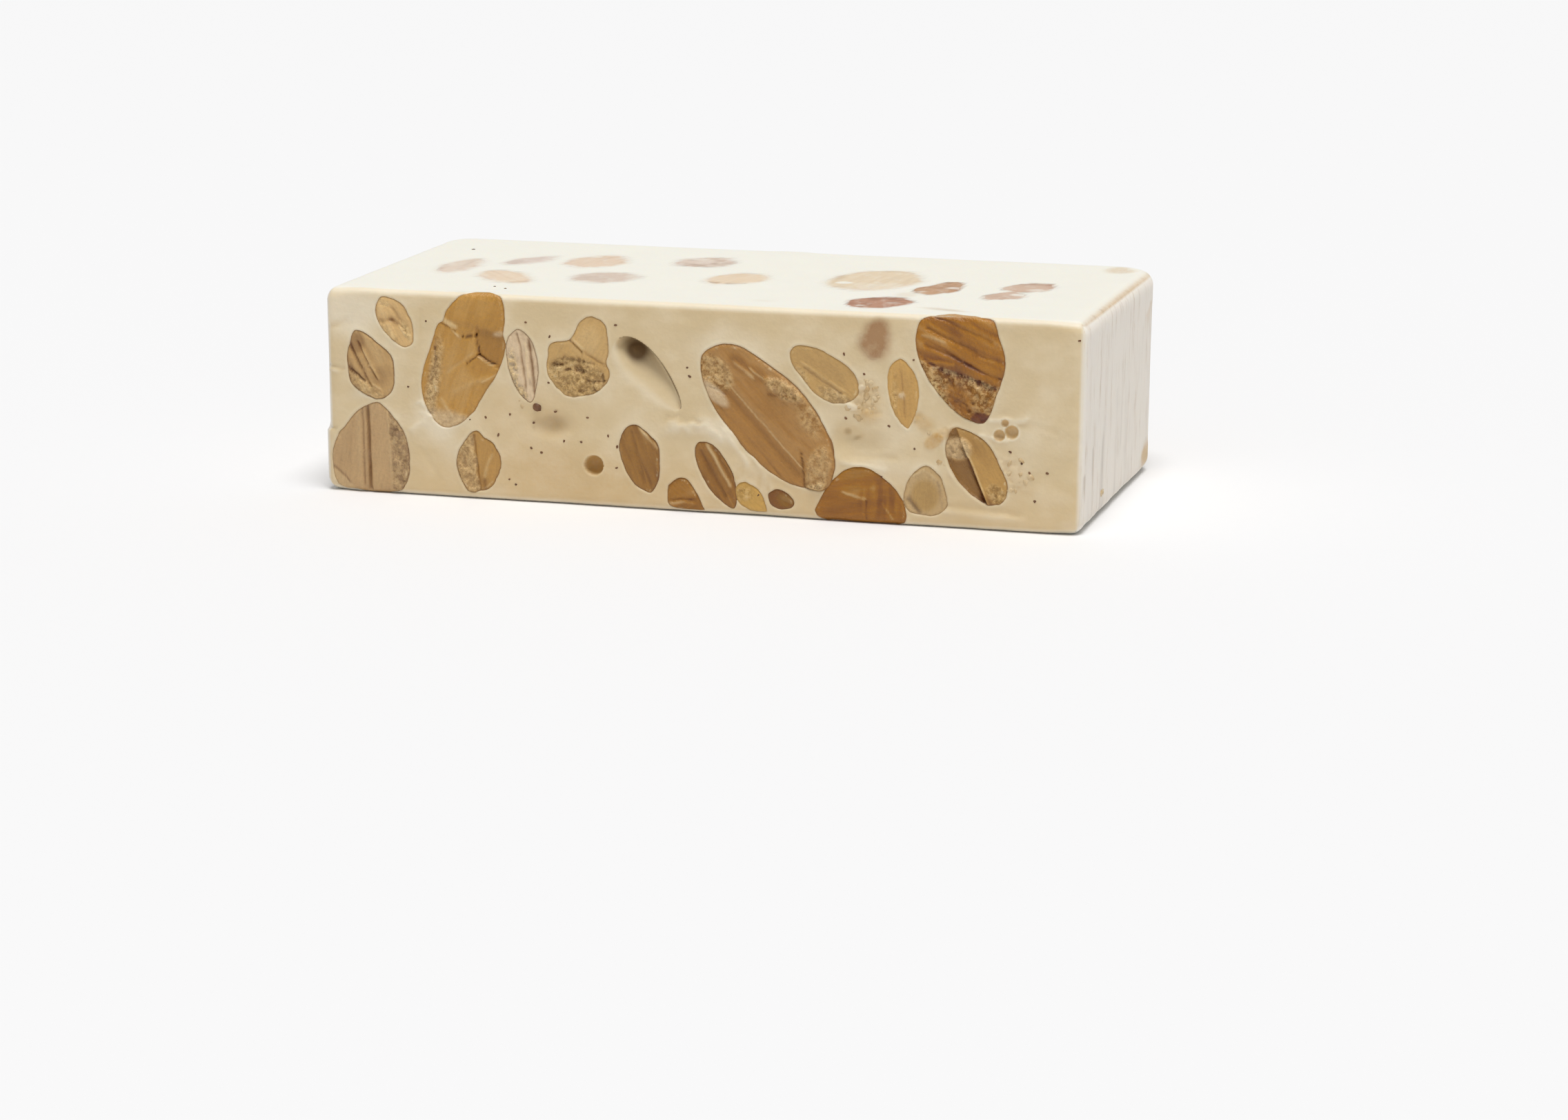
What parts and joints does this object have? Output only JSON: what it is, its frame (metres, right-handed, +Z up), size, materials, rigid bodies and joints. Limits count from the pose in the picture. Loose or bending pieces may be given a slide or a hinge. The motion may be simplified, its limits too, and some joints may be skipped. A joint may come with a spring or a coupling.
{
  "type": "turron block",
  "caption": "Rectangular block of soft nougat with whole almonds set in it, cut so that they show in section on the faces.",
  "frame": {"origin": "middle of the face that the block rests on", "axes": "+X along the block, +Y from its front cut face to its back, +Z up"},
  "size_m": [0.0904, 0.042, 0.024],
  "materials": {
    "nougat": "smooth cream nougat, satin, slightly translucent",
    "almond_tan": "cut almond, dull tan",
    "almond_golden": "cut almond, golden, faint sheen",
    "almond_brown": "cut almond with toasted skin, brown",
    "almond_grey": "cut almond, grey tan, crumbly",
    "almond_veiled": "almond under a thin film of nougat, pale"
  },
  "bodies": {
    "root": {"nougat": "nougat", "almond_front_01": "almond_tan", "almond_front_02": "almond_grey", "almond_front_03": "almond_tan", "almond_front_04": "almond_golden", "almond_front_05": "almond_grey", "almond_front_06": "almond_golden", "almond_front_07": "almond_brown", "almond_front_08": "almond_tan", "almond_front_09": "almond_brown", "almond_front_10": "almond_brown", "almond_front_11": "almond_brown", "almond_front_12": "almond_golden", "almond_front_13": "almond_golden", "almond_front_14": "almond_brown", "almond_front_15": "almond_golden", "almond_front_16": "almond_brown", "almond_front_17": "almond_grey", "almond_front_18": "almond_brown", "almond_front_19": "almond_tan", "almond_front_20": "almond_veiled", "almond_top_01": "almond_veiled", "almond_top_02": "almond_veiled", "almond_top_03": "almond_veiled", "almond_top_04": "almond_veiled", "almond_top_05": "almond_veiled", "almond_top_06": "almond_veiled", "almond_top_07": "almond_veiled", "almond_top_08": "almond_veiled", "almond_top_09": "almond_brown", "almond_top_10": "almond_tan", "almond_top_11": "almond_tan", "almond_top_12": "almond_tan", "almond_back_01": "almond_brown", "almond_back_02": "almond_tan", "almond_back_03": "almond_golden", "almond_back_04": "almond_grey", "almond_back_05": "almond_brown", "almond_back_06": "almond_brown", "almond_back_07": "almond_golden", "almond_back_08": "almond_tan", "almond_back_09": "almond_golden", "almond_back_10": "almond_grey", "almond_back_11": "almond_tan", "almond_back_12": "almond_brown", "almond_right_01": "almond_veiled", "almond_left_01": "almond_veiled", "almond_left_02": "almond_veiled", "almond_foot_01": "almond_veiled", "almond_foot_02": "almond_veiled", "almond_foot_03": "almond_veiled", "almond_foot_04": "almond_veiled"}
  },
  "joints": []
}
